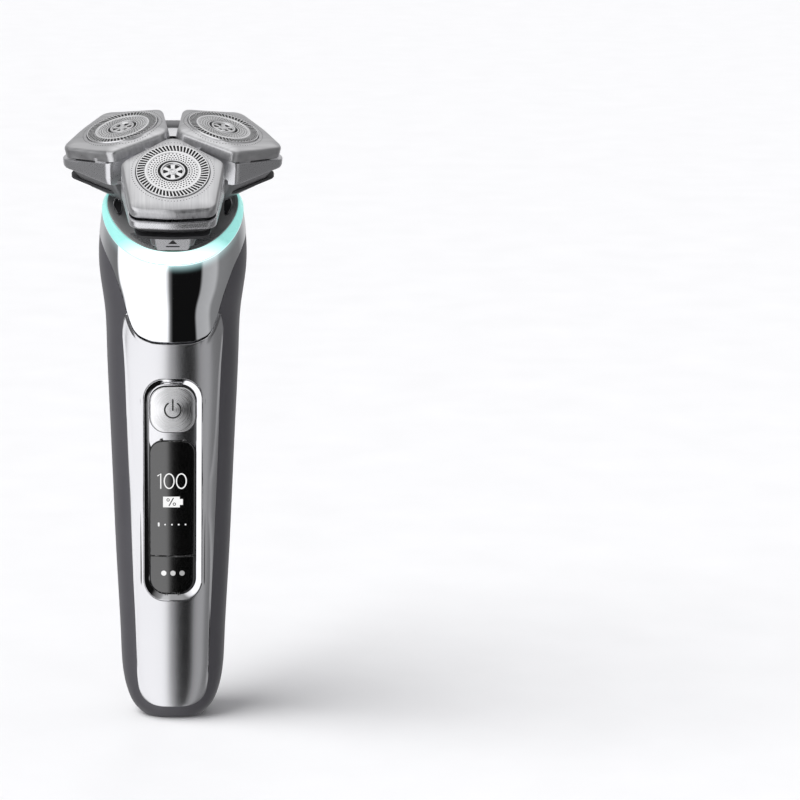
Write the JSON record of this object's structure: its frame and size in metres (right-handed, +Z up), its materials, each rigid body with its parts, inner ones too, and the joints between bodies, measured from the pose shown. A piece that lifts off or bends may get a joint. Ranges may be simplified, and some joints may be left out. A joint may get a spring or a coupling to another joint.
{
  "type": "electric shaver",
  "caption": "Cordless rotary shaver: upright tapered handle with lit collar, display and buttons, and a leaning shaving unit of floating round heads.",
  "frame": {"origin": "centre of the flat foot the handle stands on", "axes": "+Z up along the handle, -Y towards the front with the display, +X towards the right of a viewer facing the front"},
  "size_m": [0.0636, 0.0563, 0.1765],
  "materials": {
    "satin_silver": "satin",
    "dark_shell": "satin",
    "black_plastic": "matte",
    "mirror_chrome": "polished",
    "bezel_chrome": "polished",
    "display_gloss": "gloss",
    "spun_steel": "spun",
    "brushed_plate": "brushed outwards",
    "blade_steel": "polished",
    "ring_glow": "glowing",
    "board_green": "solder mask",
    "cell_wrap": "shrink wrap",
    "motor_steel": "drawn",
    "pin_brass": "plated",
    "screw_steel": "machined",
    "seal_rubber": "soft",
    "white_nylon": "moulded",
    "rim_silver": "satin"
  },
  "bodies": {
    "handle": {"rear_cover": "dark_shell", "front_panel": "satin_silver", "upper_shield": "mirror_chrome", "control_bezel": "bezel_chrome", "display_lens": "display_gloss", "display_module": "black_plastic", "main_board": "board_green", "button_contacts": "seal_rubber", "mode_contact": "seal_rubber", "battery_cell": "cell_wrap", "cell_strap_lower": "pin_brass", "cell_strap_upper": "pin_brass", "inner_frame": "black_plastic", "motor_mount": "black_plastic", "motor_can": "motor_steel", "neck_collar": "black_plastic", "shaft_seal": "seal_rubber", "light_ring": "ring_glow", "light_board": "board_green", "tail_connector": "white_nylon", "charging_inlet": "black_plastic", "inlet_pin_left": "pin_brass", "inlet_pin_right": "pin_brass", "case_screw_lower": "screw_steel", "case_screw_upper": "screw_steel", "trimmer_hinge_pin": "screw_steel", "trimmer_spring": "motor_steel"},
    "motor_rotor": {"motor_shaft": "motor_steel", "drive_coupling": "white_nylon"},
    "power_button": {"power_button": "spun_steel"},
    "mode_button": {"mode_button": "display_gloss"},
    "trimmer": {"trimmer_housing": "dark_shell", "trimmer_comb": "blade_steel"},
    "trimmer_blade": {"trimmer_blade": "blade_steel"},
    "trimmer_catch": {"trimmer_catch": "black_plastic"},
    "shaving_base": {"unit_base": "dark_shell", "gear_cover": "black_plastic", "unit_hinge_pin": "screw_steel", "release_spring": "motor_steel"},
    "release_button": {"release_button": "satin_silver"},
    "central_gear": {"central_gear": "white_nylon"},
    "head_frame": {"head_carrier": "rim_silver"},
    "spindle_front": {"drive_spindle_front": "white_nylon"},
    "head_front": {"head_plate_front": "brushed_plate", "guard_cap_front": "blade_steel", "retaining_ring_front": "black_plastic"},
    "cutter_front": {"cutter_front": "blade_steel"},
    "spindle_left": {"drive_spindle_left": "white_nylon"},
    "head_left": {"head_plate_left": "brushed_plate", "guard_cap_left": "blade_steel", "retaining_ring_left": "black_plastic"},
    "cutter_left": {"cutter_left": "blade_steel"},
    "spindle_right": {"drive_spindle_right": "white_nylon"},
    "head_right": {"head_plate_right": "brushed_plate", "guard_cap_right": "blade_steel", "retaining_ring_right": "black_plastic"},
    "cutter_right": {"cutter_right": "blade_steel"}
  },
  "joints": [
    {"name": "motor_spin", "type": "hinge", "parent": "handle", "child": "motor_rotor", "pos_m": [0, 0.00118, 0.14708], "axis": [0, -0.3827, 0.9239], "continuous": true},
    {"name": "unit_pull_off", "type": "slide", "parent": "handle", "child": "shaving_base", "axis": [0, -0.3827, 0.9239], "range_m": [0, 0.03]},
    {"name": "central_gear_spin", "type": "hinge", "parent": "shaving_base", "child": "central_gear", "pos_m": [0, -0.00188, 0.15447], "axis": [0, -0.3827, 0.9239], "continuous": true},
    {"name": "unit_opening", "type": "hinge", "parent": "shaving_base", "child": "head_frame", "pos_m": [0, 0.01929, 0.17027], "axis": [-1, 0, 0], "range_deg": [0, 80]},
    {"name": "spindle_front_spin", "type": "hinge", "parent": "shaving_base", "child": "spindle_front", "pos_m": [0, -0.01592, 0.14865], "axis": [0, -0.3827, 0.9239], "continuous": true},
    {"name": "head_front_tilt", "type": "hinge", "parent": "head_frame", "child": "head_front", "pos_m": [0, -0.02014, 0.15878], "axis": [1, 0, 0], "range_deg": [-3, 3], "stiffness_Nm_per_rad": 0.03},
    {"name": "cutter_front_spin", "type": "hinge", "parent": "head_front", "child": "cutter_front", "pos_m": [0, -0.02209, 0.16132], "axis": [0, -0.6088, 0.7934], "continuous": true},
    {"name": "spindle_right_spin", "type": "hinge", "parent": "shaving_base", "child": "spindle_right", "pos_m": [0.01316, 0.00514, 0.15738], "axis": [0, -0.3827, 0.9239], "continuous": true},
    {"name": "head_right_tilt", "type": "hinge", "parent": "head_frame", "child": "head_right", "pos_m": [0.01318, 0.00096, 0.16752], "axis": [-0.5, 0.8001, 0.3314], "range_deg": [-3, 3], "stiffness_Nm_per_rad": 0.03},
    {"name": "cutter_right_spin", "type": "hinge", "parent": "head_right", "child": "cutter_right", "pos_m": [0.0139, 0.00015, 0.17054], "axis": [0.2241, -0.2501, 0.9419], "continuous": true},
    {"name": "spindle_left_spin", "type": "hinge", "parent": "shaving_base", "child": "spindle_left", "pos_m": [-0.01316, 0.00514, 0.15738], "axis": [0, -0.3827, 0.9239], "continuous": true},
    {"name": "head_left_tilt", "type": "hinge", "parent": "head_frame", "child": "head_left", "pos_m": [-0.01318, 0.00096, 0.16752], "axis": [-0.5, -0.8001, -0.3314], "range_deg": [-3, 3], "stiffness_Nm_per_rad": 0.03},
    {"name": "cutter_left_spin", "type": "hinge", "parent": "head_left", "child": "cutter_left", "pos_m": [-0.0139, 0.00015, 0.17054], "axis": [-0.2241, -0.2501, 0.9419], "continuous": true},
    {"name": "power_press", "type": "slide", "parent": "handle", "child": "power_button", "axis": [0, 1, 0], "range_m": [0, 0.0005], "stiffness_N_per_m": 400},
    {"name": "mode_press", "type": "slide", "parent": "handle", "child": "mode_button", "axis": [0, 1, 0], "range_m": [0, 0.0004], "stiffness_N_per_m": 400},
    {"name": "release_press", "type": "slide", "parent": "shaving_base", "child": "release_button", "axis": [0, 0.9239, 0.3827], "range_m": [0, 0.0008], "stiffness_N_per_m": 400, "deforming": ["release_spring"]},
    {"name": "trimmer_open", "type": "hinge", "parent": "handle", "child": "trimmer", "pos_m": [0, 0.0133, 0.0932], "axis": [-1, 0, 0], "range_deg": [0, 44]},
    {"name": "trimmer_stroke", "type": "slide", "parent": "trimmer", "child": "trimmer_blade", "axis": [1, 0, 0], "range_m": [-0.0006, 0.0006]},
    {"name": "trimmer_catch_slide", "type": "slide", "parent": "handle", "child": "trimmer_catch", "axis": [0, 0, 1], "range_m": [0, 0.004], "stiffness_N_per_m": 150}
  ],
  "couplings": [
    {"joint": "central_gear_spin", "follows": "motor_spin", "ratio": 1},
    {"joint": "spindle_front_spin", "follows": "motor_spin", "ratio": -1.2941},
    {"joint": "cutter_front_spin", "follows": "motor_spin", "ratio": -1.2941},
    {"joint": "spindle_right_spin", "follows": "motor_spin", "ratio": -1.2941},
    {"joint": "cutter_right_spin", "follows": "motor_spin", "ratio": -1.2941},
    {"joint": "spindle_left_spin", "follows": "motor_spin", "ratio": -1.2941},
    {"joint": "cutter_left_spin", "follows": "motor_spin", "ratio": -1.2941}
  ]
}
